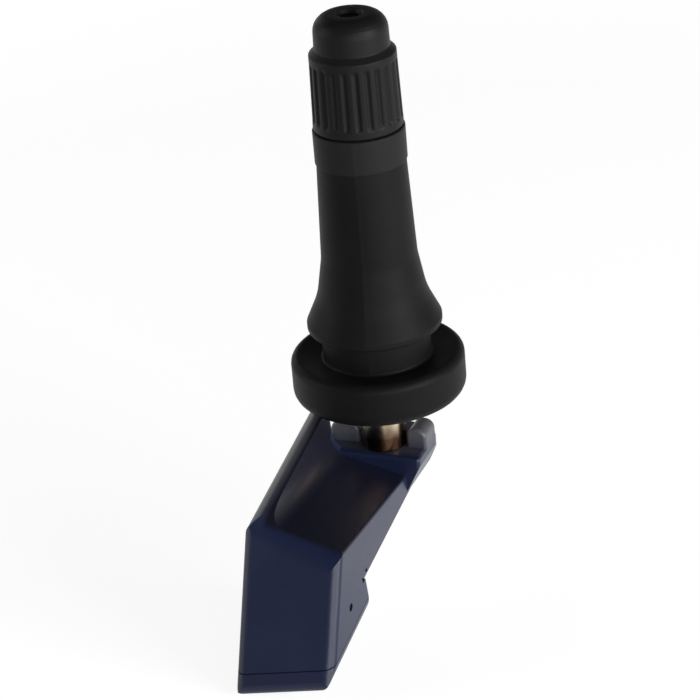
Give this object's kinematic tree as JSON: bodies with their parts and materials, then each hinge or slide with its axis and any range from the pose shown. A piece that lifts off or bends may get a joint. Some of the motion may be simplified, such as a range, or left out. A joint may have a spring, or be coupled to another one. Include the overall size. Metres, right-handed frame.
{
  "type": "tyre pressure sensor",
  "caption": "Tyre pressure sensor on a snap-in rubber valve: screw cap, sprung valve core, brass stem and a slanting moulded housing with its board and cell.",
  "frame": {"origin": "on the stem axis, in the middle of the groove that sits in the wheel's valve hole", "axes": "+Z along the stem out of the wheel, towards the cap; -Y towards the toe of the sensor housing"},
  "size_m": [0.019, 0.0386, 0.066],
  "materials": {
    "rubber_black": "satin moulded",
    "rubber_red": "matte",
    "brass_turned": "turned",
    "spring_steel": "drawn wire",
    "screw_steel": "zinc plated",
    "cell_steel": "bright",
    "cap_plastic": "satin",
    "housing_plastic": "satin moulded",
    "board_green": "solder mask",
    "chip_black": "moulded",
    "ferrite_grey": "sintered",
    "copper_wire": "enamelled",
    "part_tan": "matte"
  },
  "bodies": {
    "stem": {"valve_stem_rubber": "rubber_black", "brass_stem": "brass_turned", "core_plug": "brass_turned", "core_barrel": "brass_turned", "core_barrel_seal": "rubber_red", "core_spring": "spring_steel", "stem_screw": "screw_steel", "sensor_housing": "housing_plastic", "housing_cover": "housing_plastic", "circuit_board": "board_green", "battery_cell": "cell_steel", "battery_tab_positive": "cell_steel", "battery_tab_negative": "cell_steel", "pressure_sensor_chip": "chip_black", "pressure_port_seal": "rubber_black", "crystal": "cell_steel", "lf_antenna_core": "ferrite_grey", "lf_antenna_winding": "copper_wire", "rf_antenna_loop": "copper_wire", "chip_capacitors": "part_tan", "chip_inductors": "ferrite_grey"},
    "cap_seal": {"cap_gasket": "rubber_black"},
    "cap": {"valve_cap": "cap_plastic"},
    "valve_pin": {"core_pin": "brass_turned", "core_seat_cup": "brass_turned", "core_seat_washer": "rubber_red"}
  },
  "joints": [
    {"name": "cap_lift", "type": "slide", "parent": "stem", "child": "cap_seal", "axis": [0, 0, 1], "range_m": [0, 0.006]},
    {"name": "cap_turn", "type": "hinge", "parent": "cap_seal", "child": "cap", "pos_m": [0, 0, 0.0308], "axis": [0, 0, 1], "range_deg": [0, 2722]},
    {"name": "core_pin_press", "type": "slide", "parent": "stem", "child": "valve_pin", "axis": [0, 0, -1], "range_m": [0, 0.0016], "stiffness_N_per_m": 400, "deforming": ["core_spring"]}
  ],
  "couplings": [
    {"joint": "cap_turn", "follows": "cap_lift", "rad_per_m": 7915.8}
  ]
}
